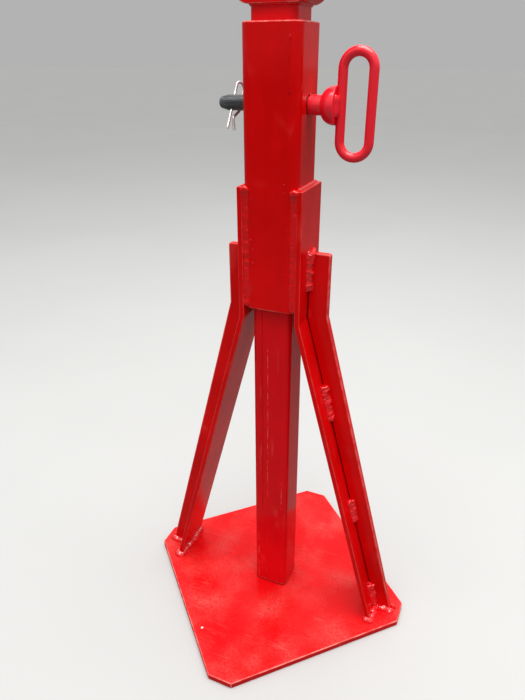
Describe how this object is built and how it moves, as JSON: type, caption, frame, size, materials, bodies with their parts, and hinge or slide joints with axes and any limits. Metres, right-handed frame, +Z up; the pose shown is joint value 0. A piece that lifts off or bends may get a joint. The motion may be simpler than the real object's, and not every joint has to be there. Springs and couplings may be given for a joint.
{
  "type": "axle jack stand",
  "caption": "Tall pin-type axle stand: square ram in a square sleeve on two T-section legs and a flat base plate, with a cradle saddle, a looped locking pin and a hairpin clip.",
  "frame": {"origin": "centre of the base plate's underside, on the floor under the tubes' axis", "axes": "+Z up along the tubes; +X along the locking pin towards its loop handle; the legs stand at -X and +X, and the base plate's corners point along X and Y"},
  "size_m": [0.3974, 0.3974, 0.8292],
  "materials": {
    "red_enamel": "gloss",
    "black_pin": "satin",
    "zinc_wire": "satin"
  },
  "bodies": {
    "frame": {"base_plate": "red_enamel", "sleeve_tube": "red_enamel", "leg_strap_left": "red_enamel", "leg_strap_right": "red_enamel", "leg_rib_left": "red_enamel", "leg_rib_right": "red_enamel", "weld_left_front": "red_enamel", "weld_left_back": "red_enamel", "weld_right_front": "red_enamel", "weld_right_back": "red_enamel", "weld_top_left": "red_enamel", "weld_top_right": "red_enamel", "weld_rib_left": "red_enamel", "weld_rib_right": "red_enamel", "weld_foot_left": "red_enamel", "weld_foot_right": "red_enamel"},
    "ram": {"ram_tube": "red_enamel", "saddle_cradle": "red_enamel", "weld_saddle": "red_enamel"},
    "pin": {"pin_shank": "black_pin", "pin_head": "red_enamel", "pin_loop": "red_enamel", "weld_loop": "red_enamel"},
    "clip": {"hairpin_clip": "zinc_wire"}
  },
  "joints": [
    {"name": "ram_lift", "type": "slide", "parent": "frame", "child": "ram", "axis": [0, 0, 1], "range_m": [0, 0.0014]},
    {"name": "pin_pull", "type": "slide", "parent": "frame", "child": "pin", "axis": [1, 0, 0], "range_m": [0, 0.016]},
    {"name": "clip_pull", "type": "slide", "parent": "pin", "child": "clip", "axis": [0, 0.5299, 0.848], "range_m": [0, 0.055], "deforming": ["hairpin_clip"]}
  ]
}
